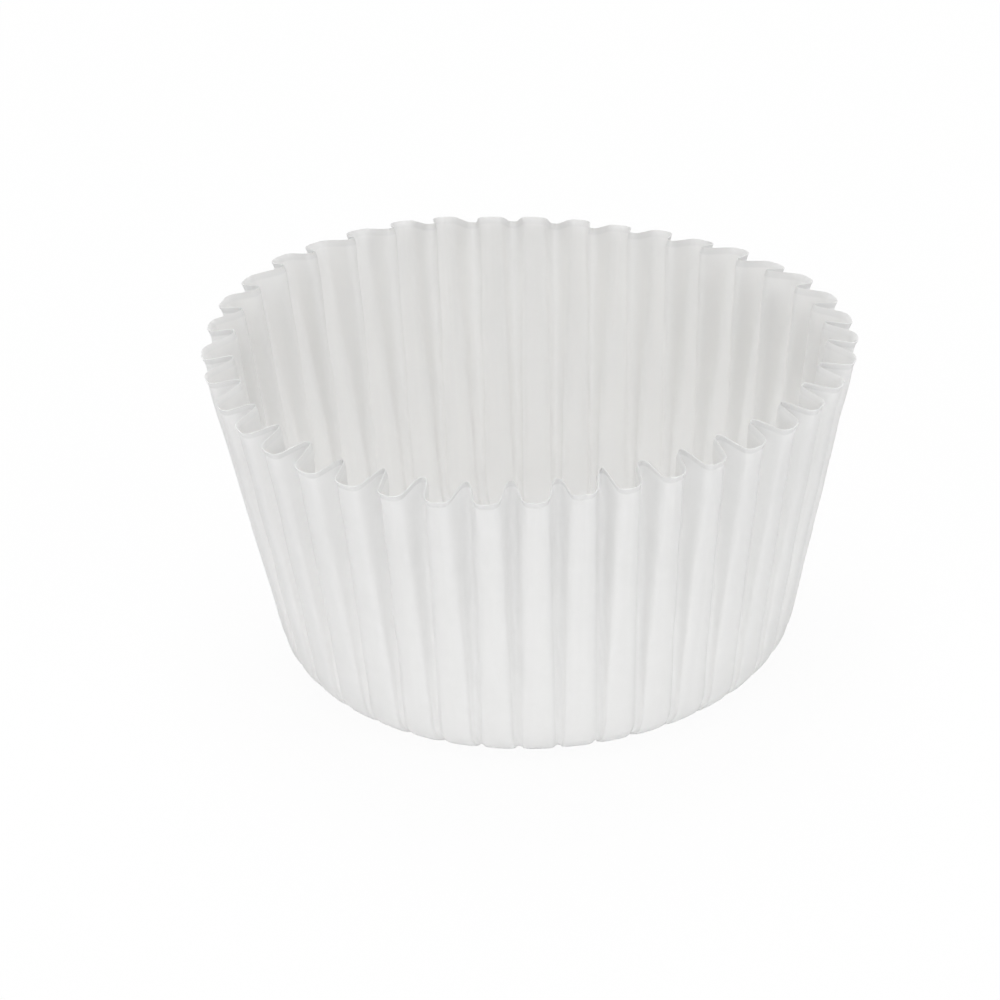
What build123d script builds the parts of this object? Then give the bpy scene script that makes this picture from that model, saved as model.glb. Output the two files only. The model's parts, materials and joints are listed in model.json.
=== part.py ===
from build123d import *
from math import atan2, cos, pi, sin, sqrt, tan
import os

# Pressed paper cupcake liner: one sheet of white baking paper, fluted round its wall.
#
# A flat round blank is pressed into a cup.  Its middle stays flat as the base, and the
# rest turns up over a rounded corner into a wall of even, near-radial flutes.  At the base
# a flute is a wide crest and a narrow, shallow groove.  The grooves widen and deepen in
# straight folds up to the cut edge.  The edge is the rim of the blank, so it lies an even
# length of paper away from the base: it is a little higher in the valleys, which lean out
# less, than on the crests.
#
# Millimetres, +Z up.  The origin is at the centre of the underside of the base.

# The sheet
paper_thickness = 0.06

# The base, and the corner that turns it up into the wall
base_radius = 25.0            # where the line of a crest would meet the underside
corner_radius = 4.5           # outside radius of the turn from base to wall
corner_steps = 4              # the turn is drawn in this many straight steps

# The wall
wall_slant = 33.3             # length of a crest, from the line of the base to the cut edge
rim_radius = 31.3             # outside of the crests at the cut edge
trim_allowance = 2.0          # how far the wall is drawn past the cut edge before trimming

# The flutes
flute_count = 40
base_flute_depth = 0.3        # how far the valleys lie inside the crests at the base
rim_flute_depth = 3.0         # and at the cut edge
base_crest_width = 2.9        # width of a crest between its folds, at the base
rim_crest_width = 2.0         # and at the cut edge
base_valley_width = 0.4       # width of a valley between its folds, at the base
rim_valley_width = 0.8        # and at the cut edge

# Worked out from the sizes above
flute_angle = 2 * pi / flute_count
rim_crest_height = sqrt(wall_slant**2 - (rim_radius - base_radius) ** 2)
wall_tilt = atan2(rim_radius - base_radius, rim_crest_height)
corner_turn = pi / 2 - wall_tilt
flat_radius = base_radius - corner_radius * tan(corner_turn / 2)

base_valley_radius = base_radius - base_flute_depth
rim_valley_radius = rim_radius - rim_flute_depth
valley_slant = wall_slant + base_flute_depth
rim_valley_height = sqrt(valley_slant**2 - (rim_valley_radius - base_valley_radius) ** 2)


def between(low, high, share):
    """The value that lies a given share of the way from low to high."""
    return low + (high - low) * share


def flute_section(height, reach, inset):
    """One level section of the whole wall, as a face.

    The crests lie at radius reach on the paper's outer side, and the outline is drawn
    inset from that side.  The flutes take their depth and widths from the height, and in
    the corner they run in towards the middle of the base.
    """
    share = height / rim_crest_height
    spread = max(reach, base_radius)
    depth = between(base_flute_depth, rim_flute_depth, share)
    crest_half = between(base_crest_width, rim_crest_width, share) / 2 / spread
    valley_half = between(base_valley_width, rim_valley_width, share) / 2 / (spread - depth)

    # Setting the outline in moves each fold sideways as well, by the mitre of the fold
    flank_run = (flute_angle / 2 - crest_half - valley_half) * reach
    fold_shift = inset * tan(atan2(depth, flank_run) / 2)
    crest_radius = reach - inset
    valley_radius = reach - depth - inset
    crest_half -= fold_shift / crest_radius
    valley_half += fold_shift / valley_radius

    def at(radius, angle):
        return (radius * cos(angle), radius * sin(angle))

    valley_start = flute_angle / 2 - valley_half
    valley_end = flute_angle / 2 + valley_half
    with BuildLine() as flute:
        ThreePointArc(
            at(crest_radius, -crest_half),
            at(crest_radius, 0),
            at(crest_radius, crest_half),
        )
        Line(at(crest_radius, crest_half), at(valley_radius, valley_start))
        ThreePointArc(
            at(valley_radius, valley_start),
            at(valley_radius, flute_angle / 2),
            at(valley_radius, valley_end),
        )
        Line(at(valley_radius, valley_end), at(crest_radius, flute_angle - crest_half))

    with BuildSketch(Plane.XY.offset(height)) as section:
        with BuildLine():
            with PolarLocations(0, flute_count):
                add(flute.line)
        make_face()
    return section.sketch


def wall_sections(inset):
    """Sections from the edge of the flat base up past the cut edge, lowest first."""
    bend_radius = corner_radius - inset
    sections = []
    for step in range(corner_steps + 1):
        turned = corner_turn * step / corner_steps
        height = corner_radius - bend_radius * cos(turned)
        reach = flat_radius + corner_radius * sin(turned) + inset * (1 - sin(turned))
        sections.append(flute_section(height, reach, inset))
    top_height = rim_crest_height + trim_allowance
    top_reach = base_radius + top_height * tan(wall_tilt)
    sections.append(flute_section(top_height, top_reach, inset / cos(wall_tilt)))
    return sections


# The space inside the cup, drawn up past the cut edge
with BuildPart() as hollow:
    loft(sections=wall_sections(paper_thickness), ruled=True)

# What lies beyond the cut edge: above a shallow cone through the tops of crests and valleys
edge_fall = (rim_valley_height - rim_crest_height) / rim_flute_depth
trim_radius = rim_radius + trim_allowance
trim_top = rim_valley_height + rim_radius * edge_fall + trim_allowance
with BuildPart() as offcut:
    with BuildSketch(Plane.XZ):
        with BuildLine():
            Polyline(
                (0, rim_crest_height + rim_radius * edge_fall),
                (trim_radius, rim_crest_height - trim_allowance * edge_fall),
                (trim_radius, trim_top),
                (0, trim_top),
                close=True,
            )
        make_face()
    revolve(axis=Axis.Z)

# The liner: the paper between its outer and its inner face, trimmed to the cut edge
with BuildPart() as liner:
    loft(sections=wall_sections(0), ruled=True)
    add(hollow.part, mode=Mode.SUBTRACT)
    add(offcut.part, mode=Mode.SUBTRACT)

os.makedirs("parts", exist_ok=True)
liner.part.label = "liner"
export_step(liner.part, "parts/liner.step")
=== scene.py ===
"""The white paper cupcake liner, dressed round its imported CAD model.

The liner is one round blank of baking paper, pressed into a fluted cup.  Here it is one
thin sheet with two sides: a flat base, a rounded corner, and a wall of forty folded
flutes that end in a cut edge.  The sheet stands for the CAD node of the same name.

Metres, in the frame of the CAD model: +Z up, and the front of the cup faces -Y.
Angles round the cup are counted from the front, and grow towards +X.
"""

import json
import logging
from dataclasses import dataclass, field
from enum import Enum
from math import cos, pi, radians, sin

import bpy
import numpy as np
from mathutils import Matrix, Vector


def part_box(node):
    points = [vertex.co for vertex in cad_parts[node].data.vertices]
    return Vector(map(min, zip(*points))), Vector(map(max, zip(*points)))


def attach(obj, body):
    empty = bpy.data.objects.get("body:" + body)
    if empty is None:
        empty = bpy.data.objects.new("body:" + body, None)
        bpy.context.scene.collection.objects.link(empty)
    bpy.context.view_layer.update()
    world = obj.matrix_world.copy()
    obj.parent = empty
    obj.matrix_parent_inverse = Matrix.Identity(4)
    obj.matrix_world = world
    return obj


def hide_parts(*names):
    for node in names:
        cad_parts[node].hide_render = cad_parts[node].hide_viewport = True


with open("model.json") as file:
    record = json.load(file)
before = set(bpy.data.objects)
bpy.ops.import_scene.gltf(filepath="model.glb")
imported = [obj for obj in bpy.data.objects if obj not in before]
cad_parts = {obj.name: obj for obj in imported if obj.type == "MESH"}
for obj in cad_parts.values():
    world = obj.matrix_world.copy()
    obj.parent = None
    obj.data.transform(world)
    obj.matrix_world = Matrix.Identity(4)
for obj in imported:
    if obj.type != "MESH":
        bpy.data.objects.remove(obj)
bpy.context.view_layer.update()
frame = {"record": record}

LOG = logging.getLogger("cupcake_liner")
MM = 0.001
TINY = 1e-12

Colour = tuple[float, float, float, float]
Span = tuple[float, float]
Socket = bpy.types.NodeSocket


# ---------------------------------------------------------------- the folded sheet


class Face(Enum):
    """The four faces of a flute, in their order round the cup."""

    CREST = "crest"
    FALLING_FLANK = "falling flank"
    VALLEY = "valley"
    RISING_FLANK = "rising flank"


@dataclass(frozen=True)
class Swell:
    """A slow swell of the rim, as hand-pressed paper has: a cosine of the angle round it.

    Its size is how far it goes to either side, its lobes are how often it comes in one turn,
    and its peak is where one of them is highest, in degrees.
    """

    size: float
    lobes: int
    peak: float

    def at(self, angle: np.ndarray) -> np.ndarray:
        """Gives the swell at each angle.

        Args:
            angle: Angles round the cup, in radians.

        Returns:
            The swell there, in metres.
        """
        return self.size * np.cos(self.lobes * (angle - radians(self.peak)))


@dataclass(frozen=True)
class Ripple:
    """Faint unevenness of the paper between its folds: a sum of seeded waves."""

    depth: float = 0.045 * MM
    shortest: float = 4 * MM
    longest: float = 16 * MM
    waves: int = 14
    fewest_turns: int = 5
    most_turns: int = 33
    seed: int = 23

    def at(self, around: np.ndarray, along: np.ndarray) -> np.ndarray:
        """Gives how far the paper stands off its true face.

        Args:
            around: Angle round the cup, in radians.
            along: Length of paper from the centre of the base, in metres.

        Returns:
            The height of the ripple, in metres.
        """
        draw = np.random.default_rng(self.seed)
        height = np.zeros(np.broadcast(around, along).shape)
        for _ in range(self.waves):
            turns = draw.integers(self.fewest_turns, self.most_turns + 1)
            pitch = draw.uniform(self.shortest, self.longest)
            start = draw.uniform(0, 2 * pi)
            height += np.cos(turns * around + 2 * pi * along / pitch + start)
        return self.depth * height / np.sqrt(self.waves)


@dataclass
class Flutes:
    """The folds of the wall, as they lie at the base and at the cut edge.

    Angles are in degrees.  From flute to flute, each thing varies by up to the amount whose
    name ends in _vary: an angle, a share of a size, or a length.  The swells make the whole
    rim a little wider, higher and turned sideways in places.
    """

    count: int = 40
    first_crest: float = -1.15
    base_radius: float = 25.0 * MM
    base_depth: float = 0.22 * MM
    base_crest: float = 2.6 * MM
    base_valley: float = 0.12 * MM
    rim_radius: float = 30.6 * MM
    rim_depth: float = 3.0 * MM
    rim_crest: float = 2.15 * MM
    rim_valley: float = 0.95 * MM
    rim_height: float = 31.8 * MM
    edge_rise: float = 0.28
    fold_radius: float = 0.8 * MM
    base_fold_radius: float = 0.8 * MM
    fold_share: float = 0.47
    fold_points: int = 5
    crest_points: int = 2
    flank_points: int = 2
    valley_points: int = 1
    turn_vary: float = 0.32
    valley_turn_vary: float = 0.30
    crest_vary: float = 0.11
    valley_vary: float = 0.22
    depth_vary: float = 0.07
    rise_vary: float = 0.14 * MM
    bow_vary: float = 0.07 * MM
    seed: int = 5
    wide: tuple[Swell, ...] = (
        Swell(1.22 * MM, 2, 84.6), Swell(0.35 * MM, 3, -18.5), Swell(0.16 * MM, 1, 165.0)
    )
    high: tuple[Swell, ...] = (Swell(0.44 * MM, 1, -64.6), Swell(0.70 * MM, 2, 57.2))
    sideways: tuple[Swell, ...] = (Swell(0.85 * MM, 1, 0.0), Swell(0.19 * MM, 2, -45.0))

    def __post_init__(self) -> None:
        """Draws how each flute differs a little from the next."""
        draw = np.random.default_rng(self.seed)

        def vary(most: float) -> np.ndarray:
            """Draws one value for each flute, up to that much to either side of none."""
            return draw.uniform(-most, most, self.count)

        self.turn = vary(self.turn_vary)
        self.valley_turn = vary(self.valley_turn_vary)
        self.crest_share = 1 + vary(self.crest_vary)
        self.valley_share = 1 + vary(self.valley_vary)
        self.depth_share = 1 + vary(self.depth_vary)
        self.crest_rise = vary(self.rise_vary)
        self.bow = vary(self.bow_vary)

    def points_within(self, face: Face) -> int:
        """Says how finely a face is drawn.

        Args:
            face: The face.

        Returns:
            How many points it has between the roundings of its two folds.
        """
        if face is Face.CREST:
            return self.crest_points
        return self.valley_points if face is Face.VALLEY else self.flank_points

    def corners(self, at_rim: bool) -> tuple[np.ndarray, np.ndarray]:
        """Places the four folds of every flute.

        Args:
            at_rim: True for the cut edge, and False for the base.

        Returns:
            The angle and the radius of each fold, both as (flutes, 4) arrays.
        """
        pitch = 360 / self.count
        radius = self.rim_radius if at_rim else self.base_radius
        depth = self.rim_depth * self.depth_share if at_rim else self.base_depth
        crest = self.rim_crest * self.crest_share if at_rim else self.base_crest
        valley = self.rim_valley * self.valley_share if at_rim else self.base_valley
        middle = np.radians(self.first_crest + pitch * np.arange(self.count) + self.turn)
        trough = middle + np.radians(pitch / 2 + self.valley_turn)
        half_crest = crest / 2 / radius
        half_valley = valley / 2 / (radius - depth)
        crest_folds = [middle - half_crest, middle + half_crest]
        valley_folds = [trough - half_valley, trough + half_valley]
        level = np.zeros(self.count)
        inset = np.stack([level, level, level + depth, level + depth], 1)
        return np.stack(crest_folds + valley_folds, 1), radius - inset

    def folds(self, at_rim: bool) -> np.ndarray:
        """Places every fold, with the swells and the rise of the rim where it is one.

        Args:
            at_rim: True for the cut edge, and False for the base.

        Returns:
            The sharp corners in order round the cup, four to a flute, as a (folds, 3) array.
        """
        angle, radius = self.corners(at_rim)
        height = np.zeros_like(angle)
        if at_rim:
            swollen = sum(swell.at(angle) for swell in self.wide)
            height += self.rim_height + sum(swell.at(angle) for swell in self.high)
            height += self.edge_rise * (self.rim_radius - radius) + self.crest_rise[:, None]
            angle = angle + sum(swell.at(angle) for swell in self.sideways) / self.rim_radius
            radius = radius + swollen
        fold = np.stack([radius * np.sin(angle), -radius * np.cos(angle), height], -1)
        return fold.reshape(-1, 3)

    def section(self, at_rim: bool) -> np.ndarray:
        """Draws one closed turn of the sheet, with its folds rounded.

        Args:
            at_rim: True for the cut edge, and False for the base.

        Returns:
            The points in order round the cup, as a (columns, 3) array.
        """
        fold = self.folds(at_rim)
        reach = self.fold_radius if at_rim else self.base_fold_radius
        before, after = np.roll(fold, 1, 0) - fold, np.roll(fold, -1, 0) - fold
        most = self.fold_share
        start = fold + before * np.minimum(most, reach / np.linalg.norm(before, axis=1))[:, None]
        end = fold + after * np.minimum(most, reach / np.linalg.norm(after, axis=1))[:, None]
        gone = np.linspace(0, 1, self.fold_points)[:, None, None]
        left = 1 - gone
        rounded = left**2 * start + 2 * gone * left * fold + gone**2 * end

        following = np.roll(start, -1, 0)
        faces = list(Face)
        points = []
        for number in range(len(fold)):
            flute, place = divmod(number, len(faces))
            face = faces[place]
            count = self.points_within(face)
            points.extend(rounded[:, number])
            share = np.arange(1, count + 1)[:, None] / (count + 1)
            inner = end[number] + (following[number] - end[number]) * share
            if face is Face.CREST and at_rim:
                outward = fold[number] * (1, 1, 0) / np.linalg.norm(fold[number][:2])
                inner = inner + outward * self.bow[flute] * np.sin(pi * share)
            points.extend(inner)
        return np.array(points)


@dataclass
class LinerSheet:
    """The whole liner: one sheet of paper, with its two sides and its cut edge."""

    body: str
    node: str
    material_slot: str
    name: str = "liner_sheet"
    thickness: float = 0.06 * MM
    corner_radius: float = 4.5 * MM
    lip_length: float = 0.8 * MM
    lip_reach: float = 0.18 * MM
    lip_curve: float = 1.5
    ripple_fade: float = 6 * MM
    base_crown: float = 0.22 * MM
    base_rings: int = 6
    corner_rows: int = 7
    wall_rows: int = 27
    lip_rows: int = 4
    flutes: Flutes = field(default_factory=Flutes)
    ripple: Ripple = field(default_factory=Ripple)

    def outside(self) -> tuple[np.ndarray, np.ndarray]:
        """Places the points of the sheet's outer side.

        Returns:
            The points as a (rows, columns, 3) array from the first ring of the base to the
            cut edge, and the length of paper from the centre to each row, (rows, columns).
        """
        low, high = self.flutes.section(False), self.flutes.section(True)
        base_length = np.linalg.norm(low, axis=1)[:, None]
        inward = -low / base_length
        wall_length = np.linalg.norm(high - low, axis=1)[:, None]
        upward = (high - low) / wall_length
        turn = pi - np.arccos(np.sum(inward * upward, axis=1, keepdims=True))
        cut_back = self.corner_radius * np.tan(turn / 2)
        side = upward - inward * np.sum(inward * upward, axis=1, keepdims=True)
        side /= np.linalg.norm(side, axis=1, keepdims=True)
        flat_end = low + inward * cut_back
        centre = flat_end + side * self.corner_radius
        flat_length = base_length - cut_back

        # The base, a little crowned, from the first ring round its middle to the corner
        rows, lengths = [], []
        for share in np.linspace(0, 1, self.base_rings + 1)[1:]:
            crown = self.base_crown * (1 - share**2) * np.array([0, 0, 1.0])
            rows.append(flat_end * share + crown)
            lengths.append(flat_length * share)

        # The corner, an arc that leaves the base level and meets the wall in line with it
        for share in np.linspace(0, 1, self.corner_rows + 1)[1:]:
            swing = turn * share
            outward = side * np.cos(swing) + inward * np.sin(swing)
            rows.append(centre - outward * self.corner_radius)
            lengths.append(flat_length + self.corner_radius * swing)

        # The wall, straight up to the cut edge, with closer rows in the lip
        straight = wall_length - cut_back
        lip_start = 1 - self.lip_length / straight
        wall_steps = np.linspace(0, 1, self.wall_rows + 1)[1:]
        lip_steps = np.linspace(0, 1, self.lip_rows + 1)[1:]
        shares = [lip_start * step for step in wall_steps]
        shares += [lip_start + (1 - lip_start) * step for step in lip_steps]
        for share in shares:
            rows.append(low + upward * (cut_back + straight * share))
            lengths.append(flat_length + self.corner_radius * turn + straight * share)
        return np.array(rows), np.array(lengths)[:, :, 0]

    def normals(self, points: np.ndarray) -> np.ndarray:
        """Works out which way the outer side faces at each point.

        Args:
            points: The (rows, columns, 3) points of the side.

        Returns:
            Unit vectors that point out of the cup, in the same shape.
        """
        around = np.roll(points, -1, 1) - np.roll(points, 1, 1)
        up = np.gradient(points, axis=0)
        facing = np.cross(around, up)
        return facing / np.maximum(np.linalg.norm(facing, axis=2, keepdims=True), TINY)

    def shape(self) -> tuple[np.ndarray, np.ndarray, np.ndarray]:
        """Adds the ripple and the turned-out lip to the outer side, and makes the inner one.

        Returns:
            The outer points, the inner points, and the length of paper to each row.
        """
        outer, length = self.outside()
        facing = self.normals(outer)
        angle = np.arctan2(outer[..., 0], -outer[..., 1])
        wall_start = length[self.base_rings + self.corner_rows - 1].mean()
        rise = np.clip((length - wall_start) / self.ripple_fade, 0, 1)
        outer = outer + facing * (self.ripple.at(angle, length) * rise)[..., None]
        to_edge = length[-1] - length
        lip = np.clip(1 - to_edge / self.lip_length, 0, 1) ** self.lip_curve
        flat_facing = facing * (1, 1, 0)
        outer = outer + flat_facing * (self.lip_reach * lip)[..., None]
        return outer, outer - self.normals(outer) * self.thickness, length

    def mesh(self) -> bpy.types.Mesh:
        """Makes the mesh of the sheet, with what its finish needs to know at each point.

        Returns:
            The mesh, closed all round.
        """
        outer, inner, length = self.shape()
        rows, columns = length.shape
        middle = self.base_crown * np.array([[0, 0, 1.0]])
        inner_middle = middle + [[0, 0, self.thickness]]
        points = np.concatenate([outer.reshape(-1, 3), inner.reshape(-1, 3), middle, inner_middle])

        # The outer side, the inner side the other way round, the cut edge and the two middles
        here = np.arange(columns)
        following = np.roll(here, -1)
        low = np.arange(rows - 1)[:, None] * columns
        high = low + columns
        quads = np.stack([low + here, low + following, high + following, high + here], -1)
        quads = quads.reshape(-1, 4)
        side = rows * columns
        top = side - columns
        inner_top = side + top
        edge = [top + here, top + following, inner_top + following, inner_top + here]
        faces = np.concatenate([quads, quads[:, ::-1] + side, np.stack(edge, -1)]).tolist()
        for first, second in zip(here, following):
            faces.append([2 * side, second, first])
        for first, second in zip(here, following):
            faces.append([2 * side + 1, side + first, side + second])

        mesh = bpy.data.meshes.new(self.name)
        mesh.from_pydata(points.tolist(), [], faces)
        mesh.polygons.foreach_set("use_smooth", np.ones(len(mesh.polygons), bool))
        self.mark_cut_edge(mesh, top, side, columns)
        self.add_places(mesh, length)
        mesh.validate()
        mesh.update()
        return mesh

    def mark_cut_edge(self, mesh: bpy.types.Mesh, top: int, side: int, columns: int) -> None:
        """Keeps the two corners of the cut edge sharp.

        Args:
            mesh: The sheet's mesh.
            top: Number of the first point of the outer side's last row.
            side: How many points one side of the sheet has.
            columns: How many points one turn round the sheet has.
        """
        ends = np.zeros(len(mesh.edges) * 2, int)
        mesh.edges.foreach_get("vertices", ends)
        ends = ends.reshape(-1, 2)
        on_outer = (ends >= top) & (ends < top + columns)
        on_inner = (ends >= side + top) & (ends < side + top + columns)
        sharp = on_outer.all(1) | on_inner.all(1)
        mesh.attributes.new("sharp_edge", "BOOLEAN", "EDGE").data.foreach_set("value", sharp)

    def add_places(self, mesh: bpy.types.Mesh, length: np.ndarray) -> None:
        """Writes to each point where it lies on the sheet, for the finish to read.

        grain_place is its place on an upright drum, so that the crimps run up the wall.
        near_edge grows to 1 at the cut edge, on_wall to 1 over the corner, and inside is 1 on
        the inner side.  flat_blank is its place on the flat disc that the cup is pressed from.

        Args:
            mesh: The sheet's mesh.
            length: Length of paper from the centre to each point of a side.
        """
        rows, columns = length.shape
        angle = 2 * pi * np.arange(columns) / columns + radians(self.flutes.first_crest)
        on_blank = np.stack([length * np.sin(angle), -length * np.cos(angle), 0 * length], -1)
        around = self.flutes.base_radius + 0 * length
        drum = np.stack([around * np.sin(angle), -around * np.cos(angle), length], -1)
        near_edge = np.clip(1 - (length[-1] - length) / self.lip_length, 0, 1)
        on_wall = np.clip((length - length[self.base_rings]) / self.corner_radius, 0, 1)

        def both_sides(values: np.ndarray, middle: list[float]) -> np.ndarray:
            """Repeats a side's values for the other side, and adds the two middle points."""
            flat = values.reshape(rows * columns, -1)
            return np.concatenate([flat, flat, [middle], [middle]]).ravel()

        grain = mesh.attributes.new("grain_place", "FLOAT_VECTOR", "POINT")
        grain.data.foreach_set("vector", both_sides(drum, [0, 0, 0]))
        # near_edge places the band of painted shade along the rim.
        edge = mesh.attributes.new("near_edge", "FLOAT", "POINT")
        edge.data.foreach_set("value", both_sides(near_edge, [0]))
        wall = mesh.attributes.new("on_wall", "FLOAT", "POINT")
        wall.data.foreach_set("value", both_sides(on_wall, [0]))
        # inside also places the painted shade of the inner side.
        which_side = np.repeat([0.0, 1.0, 0.0, 1.0], [length.size, length.size, 1, 1])
        inside = mesh.attributes.new("inside", "FLOAT", "POINT")
        inside.data.foreach_set("value", which_side)
        corner = np.zeros(len(mesh.loops), int)
        mesh.loops.foreach_get("vertex_index", corner)
        blank = both_sides(on_blank, [0, 0, 0]).reshape(-1, 3)[corner, :2]
        flat = blank / (2 * length.max()) + 0.5
        mesh.uv_layers.new(name="flat_blank").data.foreach_set("uv", flat.ravel())

    def build(self, finish: "BakingPaper") -> bpy.types.Object:
        """Makes the piece, dresses it and puts it in its CAD node's place.

        Args:
            finish: The paper that it is made of.

        Returns:
            The finished piece.
        """
        piece = bpy.data.objects.new(self.name, self.mesh())
        bpy.context.scene.collection.objects.link(piece)
        piece.data.materials.append(finish.material())
        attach(piece, self.body)
        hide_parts(self.node)
        return piece


# ---------------------------------------------------------------- finishes


class Nodes:
    """A short way to write a material's nodes.

    The numbers are the places of a Mix node's sockets while it mixes colours.
    """

    AMOUNT, FIRST_COLOUR, SECOND_COLOUR = 0, 6, 7
    MIXED_COLOUR = 2

    def __init__(self, name: str) -> None:
        """Starts an empty material.

        Args:
            name: The material's name.
        """
        self.material = bpy.data.materials.new(name)
        self.material.use_nodes = True
        self.tree = self.material.node_tree
        self.tree.nodes.clear()

    def add(
        self,
        kind: str,
        links: dict[str | int, Socket] | None = None,
        settings: dict[str, str] | None = None,
        **values: float | tuple[float, ...],
    ) -> bpy.types.Node:
        """Adds one node.

        Args:
            kind: The node's type, without its leading ShaderNode.
            links: Output sockets that feed the node, by input name or number.
            settings: The node's own settings, such as its operation.
            **values: Plain input values, with _ for a space in the input's name.

        Returns:
            The new node.
        """
        node = self.tree.nodes.new("ShaderNode" + kind)
        for key, value in (settings or {}).items():
            setattr(node, key, value)
        for key, value in values.items():
            node.inputs[key.replace("_", " ")].default_value = value
        for key, socket in (links or {}).items():
            self.tree.links.new(socket, node.inputs[key])
        return node

    def combine(self, operation: str, first: Socket, second: Socket) -> Socket:
        """Works out one value from two.

        Args:
            operation: What is done with them, as a Math node names it.
            first: One value's socket.
            second: The other's.

        Returns:
            The result's socket.
        """
        return self.add("Math", {0: first, 1: second}, {"operation": operation}).outputs[0]

    def blend(self, amount: Socket, first: Socket | Colour, second: Socket | Colour) -> Socket:
        """Mixes two colours.

        Args:
            amount: The share of the second, as a socket.
            first: A colour, or the socket that gives one.
            second: The other.

        Returns:
            The mixed colour's socket.
        """
        node = self.add("Mix", settings={"data_type": "RGBA"})
        self.tree.links.new(amount, node.inputs[self.AMOUNT])
        for place, colour in ((self.FIRST_COLOUR, first), (self.SECOND_COLOUR, second)):
            if isinstance(colour, Socket):
                self.tree.links.new(colour, node.inputs[place])
            else:
                node.inputs[place].default_value = colour
        return node.outputs[self.MIXED_COLOUR]

    def remap(self, value: Socket, source: Span, target: Span) -> Socket:
        """Maps a value from one span to another, and keeps it inside.

        Args:
            value: The socket to read.
            source: The span that it comes from.
            target: The span that it goes to.

        Returns:
            The mapped value's socket.
        """
        node = self.add("MapRange", {"Value": value})
        node.inputs["From Min"].default_value, node.inputs["From Max"].default_value = source
        node.inputs["To Min"].default_value, node.inputs["To Max"].default_value = target
        return node.outputs["Result"]

    def attribute(self, name: str, output: str = "Fac") -> Socket:
        """Reads one of the mesh's own attributes."""
        return self.add("Attribute", settings={"attribute_name": name}).outputs[output]


@dataclass(frozen=True)
class Noise:
    """One layer of unevenness in the paper.

    Its size is how many times it repeats in a metre, its spread is the part of the noise
    that shows, and its share is how much of the mottle's colour it brings.
    """

    size: float
    detail: float
    roughness: float
    spread: Span
    share: float


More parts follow.
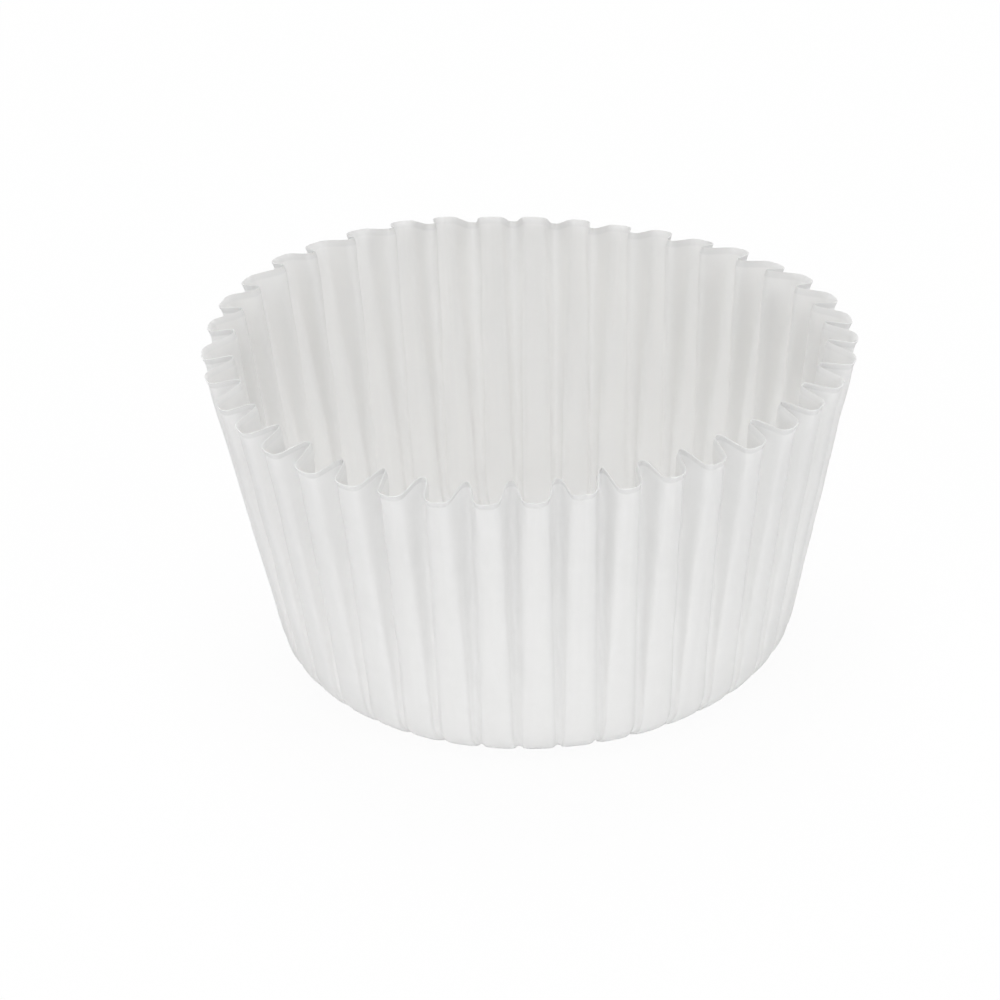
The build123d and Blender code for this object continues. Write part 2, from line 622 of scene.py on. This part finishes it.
@dataclass(frozen=True)
class BakingPaper:
    """White greaseproof paper: matt, faintly mottled, with fine crimp lines up the wall, and
    painted shade on its inner side and in a band along its rim.
    """

    name: str = "baking_paper"
    colour: Colour = (0.906, 0.906, 0.904, 1.0)
    # Painted shade: the inner side is darker and a little warmer, standing in for the shade inside
    # the cup.
    inner_painted_shade: Colour = (0.880, 0.874, 0.860, 1.0)
    mottle: Colour = (0.862, 0.862, 0.858, 1.0)
    # Painted shade along the rim: the cut edge and a band below it are greyed, fully on the outer
    # side and less on the inner side.
    rim_painted_shade: Colour = (0.75, 0.75, 0.746, 1.0)
    rim_shade_ramp: Span = (0.08, 0.3)
    rim_shade_inside: float = 0.45
    clouds: Noise = Noise(size=170.0, detail=3.0, roughness=0.6, spread=(0.35, 0.7), share=0.75)
    fibres: Noise = Noise(size=2600.0, detail=4.0, roughness=0.65, spread=(0.3, 0.7), share=0.35)
    crimps: Noise = Noise(size=1500.0, detail=2.0, roughness=0.55, spread=(0.4, 0.72), share=0.55)
    crimp_stretch: float = 0.045
    crimp_height: float = 0.06 * MM
    fibre_height: float = 0.02 * MM
    fibre_strength: float = 0.5
    roughness: Span = (0.72, 0.9)
    roughness_spread: Span = (0.3, 0.7)
    gloss: float = 0.3
    glow: float = 0.7
    glow_radius: tuple[float, float, float] = (1.0, 1.0, 1.0)
    glow_depth: float = 0.4 * MM

    def noise(self, nodes: Nodes, layer: Noise, place: Socket) -> Socket:
        """Adds one layer of noise.

        Args:
            nodes: The material's nodes.
            layer: The layer.
            place: Where each point of the paper is taken to be.

        Returns:
            The noise's socket.
        """
        node = nodes.add(
            "TexNoise", {"Vector": place},
            Scale=layer.size, Detail=layer.detail, Roughness=layer.roughness,
        )
        return node.outputs["Fac"]

    def tint(self, nodes: Nodes, clouds: Socket, fibres: Socket, crimps: Socket) -> Socket:
        """Mixes the paper's colour, with painted shade on its inner side and along its rim.

        Args:
            nodes: The material's nodes.
            clouds: The noise of the clouds.
            fibres: The noise of the fibres.
            crimps: The noise of the crimp lines.

        Returns:
            The colour's socket.
        """
        def shown(noise: Socket, layer: Noise) -> Socket:
            """How much of the mottle's colour a layer brings."""
            return nodes.remap(noise, layer.spread, (0.0, layer.share))

        inside = nodes.attribute("inside")
        streak = nodes.combine("MULTIPLY", shown(crimps, self.crimps), nodes.attribute("on_wall"))
        speckle = shown(fibres, self.fibres)
        amount = nodes.combine("MAXIMUM", speckle, shown(clouds, self.clouds))
        amount = nodes.combine("MAXIMUM", amount, streak)
        # The inner side takes its darker colour, painted shade of the cup's hollow.
        colour = nodes.blend(inside, self.colour, self.inner_painted_shade)
        colour = nodes.blend(amount, colour, self.mottle)
        # Painted shade: a grey band along the rim, weaker on the inner side.
        edge = nodes.remap(nodes.attribute("near_edge"), self.rim_shade_ramp, (0.0, 1.0))
        side = nodes.remap(inside, (0.0, 1.0), (1.0, self.rim_shade_inside))
        return nodes.blend(nodes.combine("MULTIPLY", edge, side), colour, self.rim_painted_shade)

    def relief(self, nodes: Nodes, fibres: Socket, crimps: Socket) -> Socket:
        """Raises the crimp lines on the wall, and the fibres everywhere.

        Args:
            nodes: The material's nodes.
            fibres: The noise of the fibres.
            crimps: The noise of the crimp lines.

        Returns:
            The socket of the way that the surface faces.
        """
        lines = nodes.add(
            "Bump", {"Height": crimps, "Strength": nodes.attribute("on_wall")},
            Distance=self.crimp_height,
        )
        grain = nodes.add(
            "Bump", {"Height": fibres, "Normal": lines.outputs["Normal"]},
            Strength=self.fibre_strength, Distance=self.fibre_height,
        )
        return grain.outputs["Normal"]

    def material(self) -> bpy.types.Material:
        """Makes the paper's material.

        Returns:
            The material.
        """
        nodes = Nodes(self.name)
        place = nodes.add("TexCoord").outputs["Object"]
        drawn_out = nodes.add(
            "Mapping", {"Vector": nodes.attribute("grain_place", "Vector")},
            Scale=(1.0, 1.0, self.crimp_stretch),
        )
        clouds = self.noise(nodes, self.clouds, place)
        fibres = self.noise(nodes, self.fibres, place)
        crimps = self.noise(nodes, self.crimps, drawn_out.outputs["Vector"])
        paper = nodes.add(
            "BsdfPrincipled",
            {
                "Base Color": self.tint(nodes, clouds, fibres, crimps),
                "Roughness": nodes.remap(clouds, self.roughness_spread, self.roughness),
                "Normal": self.relief(nodes, fibres, crimps),
            },
            Specular_IOR_Level=self.gloss,
            Subsurface_Weight=self.glow,
            Subsurface_Radius=self.glow_radius,
            Subsurface_Scale=self.glow_depth,
        )
        nodes.add("OutputMaterial", {"Surface": paper.outputs["BSDF"]})
        return nodes.material


@dataclass(frozen=True)
class StudioWhite:
    """The plain pale floor: white to the camera, with the object's shadow kept on it."""

    name: str = "studio_white"
    colour: Colour = (0.85, 0.85, 0.85, 1.0)
    whiteness: float = 0.95

    def material(self) -> bpy.types.Material:
        """Makes the floor's material.

        Returns:
            The material.
        """
        nodes = Nodes(self.name)
        matt = nodes.add("BsdfDiffuse", Color=self.colour)
        glow = nodes.add("Emission", Strength=1.0)
        path = nodes.add("LightPath")
        seen = path.outputs["Is Camera Ray"]
        for ray in ("Is Glossy Ray", "Is Transmission Ray"):
            seen = nodes.combine("MAXIMUM", seen, path.outputs[ray])
        share = nodes.remap(seen, (0.0, 1.0), (0.0, self.whiteness))
        mixed = nodes.add("MixShader", {0: share, 1: matt.outputs[0], 2: glow.outputs[0]})
        nodes.add("OutputMaterial", {"Surface": mixed.outputs[0]})
        return nodes.material


# ---------------------------------------------------------------- stage, light, camera


@dataclass
class Stage:
    """The floor that the liner stands on."""

    level: float
    gap: float = 0.02 * MM
    size: float = 3.0
    finish: StudioWhite = field(default_factory=StudioWhite)

    def build(self) -> bpy.types.Object:
        """Lays the floor just under the liner.

        Returns:
            The floor.
        """
        half = self.size / 2
        mesh = bpy.data.meshes.new("studio_floor")
        corners = [(-half, -half, 0), (half, -half, 0), (half, half, 0), (-half, half, 0)]
        mesh.from_pydata(corners, [], [(0, 1, 2, 3)])
        floor = bpy.data.objects.new("studio_floor", mesh)
        floor.location = (0, 0, self.level - self.gap)
        mesh.materials.append(self.finish.material())
        bpy.context.scene.collection.objects.link(floor)
        return floor


@dataclass(frozen=True)
class Softbox:
    """A broad soft lamp that faces the object."""

    name: str
    azimuth: float
    elevation: float
    power: float
    distance: float = 0.9
    size: float = 0.7

    def build(self, target: Vector) -> bpy.types.Object:
        """Sets up the lamp.

        Args:
            target: The point that it faces.

        Returns:
            The lamp.
        """
        lamp = bpy.data.lights.new(self.name, "AREA")
        lamp.shape = "DISK"
        lamp.size = self.size
        lamp.energy = self.power
        away = direction(self.azimuth, self.elevation)
        box = bpy.data.objects.new(self.name, lamp)
        box.location = target + away * self.distance
        box.rotation_mode = "QUATERNION"
        box.rotation_quaternion = (-away).to_track_quat("-Z", "Y")
        bpy.context.scene.collection.objects.link(box)
        return box


@dataclass(frozen=True)
class Surroundings:
    """Even pale light from all round, which the camera sees as white."""

    strength: float = 0.17
    seen_strength: float = 1.0
    colour: Colour = (1.0, 1.0, 1.0, 1.0)
    bounces: int = 8

    def build(self) -> bpy.types.World:
        """Makes the world and sets how colours are shown.

        Returns:
            The world.
        """
        world = bpy.data.worlds.new("pale_surroundings")
        world.use_nodes = True
        tree = world.node_tree
        tree.nodes.clear()
        path = tree.nodes.new("ShaderNodeLightPath")
        lit, seen = (tree.nodes.new("ShaderNodeBackground") for _ in range(2))
        for light, strength in ((lit, self.strength), (seen, self.seen_strength)):
            light.inputs["Color"].default_value = self.colour
            light.inputs["Strength"].default_value = strength
        mixed = tree.nodes.new("ShaderNodeMixShader")
        out = tree.nodes.new("ShaderNodeOutputWorld")
        tree.links.new(path.outputs["Is Camera Ray"], mixed.inputs[0])
        tree.links.new(lit.outputs[0], mixed.inputs[1])
        tree.links.new(seen.outputs[0], mixed.inputs[2])
        tree.links.new(mixed.outputs[0], out.inputs["Surface"])
        bpy.context.scene.world = world
        bpy.context.scene.view_settings.view_transform = "Standard"
        bpy.context.scene.cycles.diffuse_bounces = self.bounces
        return world


@dataclass(frozen=True)
class ProductCamera:
    """The camera, from the front and above, held a little crooked."""

    distance: float = 0.489
    elevation: float = 30.02
    lens: float = 177.8
    sensor: float = 36.0
    tilt: float = 2.36
    target_height: float = 15.0 * MM
    aim_left: float = 3.22 * MM
    aim_down: float = 0.15 * MM
    nearest: float = 0.05
    farthest: float = 10.0

    def build(self, centre: Vector) -> bpy.types.Object:
        """Sets up the camera and makes it the scene's own.

        Args:
            centre: The middle of the liner's base.

        Returns:
            The camera.
        """
        target = centre + Vector((0, 0, self.target_height))
        back = direction(0, self.elevation)
        level = (-back).to_track_quat("-Z", "Y").to_matrix()
        turned = level @ Matrix.Rotation(-radians(self.tilt), 3, "Z")
        aim = target + turned @ Vector((-self.aim_left, -self.aim_down, 0))
        place = target + back * self.distance
        data = bpy.data.cameras.new("product_camera")
        data.lens = self.lens
        data.sensor_width = self.sensor
        data.clip_start, data.clip_end = self.nearest, self.farthest
        camera = bpy.data.objects.new("product_camera", data)
        sight = (aim - place).normalized()
        right = sight.cross(turned @ Vector((0, 1, 0))).normalized()
        turn = Matrix((right, right.cross(sight), -sight)).transposed().to_4x4()
        camera.matrix_world = Matrix.Translation(place) @ turn
        bpy.context.scene.collection.objects.link(camera)
        bpy.context.scene.camera = camera
        return camera


def direction(azimuth: float, elevation: float) -> Vector:
    """Gives the way from the object to something round it.

    Args:
        azimuth: Degrees round from the front, towards +X.
        elevation: Degrees above the floor.

    Returns:
        A unit vector.
    """
    around, above = radians(azimuth), radians(elevation)
    return Vector((sin(around) * cos(above), -cos(around) * cos(above), sin(above)))


# ---------------------------------------------------------------- the whole


def main() -> None:
    """Builds the liner, then its floor, light and camera, and reports each."""
    logging.basicConfig(level=logging.INFO, format="%(name)s: %(message)s")
    body, node = "root", "liner"
    slot = frame["record"]["materials"][0]["slot"]
    low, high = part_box(node)
    base = Vector(((low.x + high.x) / 2, (low.y + high.y) / 2, low.z))

    sheet = LinerSheet(body=body, node=node, material_slot=slot).build(BakingPaper())
    LOG.info("%s: %d faces, in place of %s", sheet.name, len(sheet.data.polygons), node)

    floor = Stage(level=base.z).build()
    LOG.info("%s: a plain floor", floor.name)
    lamps = (
        Softbox("left_softbox", azimuth=-52, elevation=34, power=1.75),
        Softbox("right_softbox", azimuth=52, elevation=36, power=1.7),
        Softbox("front_softbox", azimuth=0, elevation=12, power=0.95, size=0.35),
        Softbox("top_softbox", azimuth=0, elevation=88, power=3.5),
        Softbox("back_softbox", azimuth=180, elevation=60, power=3.4),
    )
    for lamp in lamps:
        LOG.info("%s: a soft lamp", lamp.build(base).name)
    LOG.info("%s: even light", Surroundings().build().name)
    LOG.info("%s: the view", ProductCamera().build(base).name)


if __name__ == "__main__":
    main()
